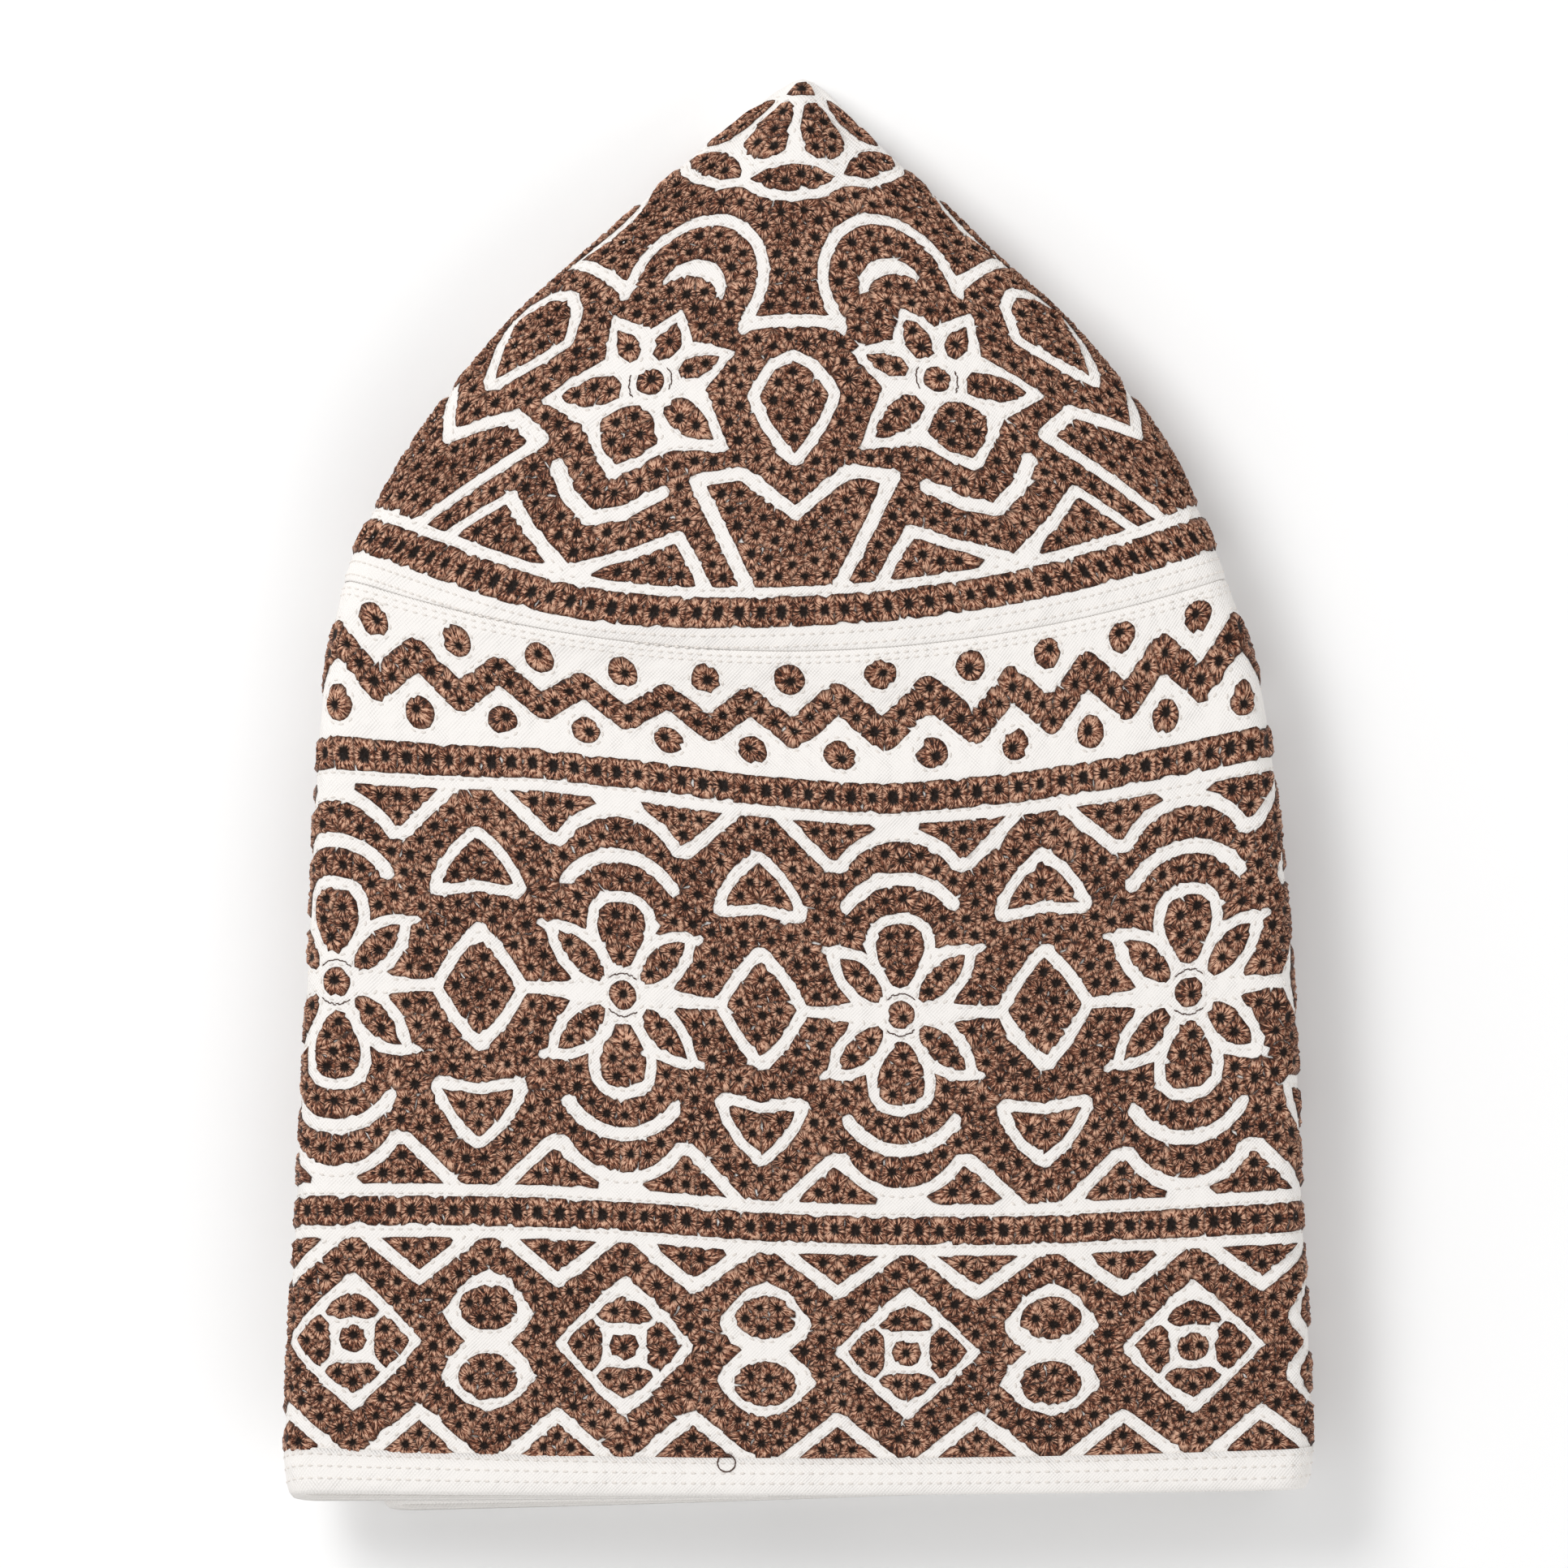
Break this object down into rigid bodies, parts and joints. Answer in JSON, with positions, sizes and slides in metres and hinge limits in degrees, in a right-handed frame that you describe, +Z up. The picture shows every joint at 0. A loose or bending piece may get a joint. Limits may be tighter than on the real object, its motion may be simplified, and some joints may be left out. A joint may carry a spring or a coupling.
{
  "type": "prayer cap",
  "caption": "Soft round cotton prayer cap with a flat crown, side band and turned hem, eyelet-embroidered, folded flat and lying down.",
  "frame": {"origin": "on the surface that the folded cap lies on, under the middle of its outline", "axes": "+X across the cap, +Y from the hem to the crown's point, +Z up from the surface through the front panel"},
  "size_m": [0.1416, 0.1976, 0.0229],
  "materials": {
    "embroidered_cotton": "matte, with silky brown eyelet stitches",
    "plain_cotton": "matte white plain weave"
  },
  "bodies": {
    "root": {"crown": "embroidered_cotton", "side_band": "embroidered_cotton", "hem": "plain_cotton"}
  },
  "joints": []
}
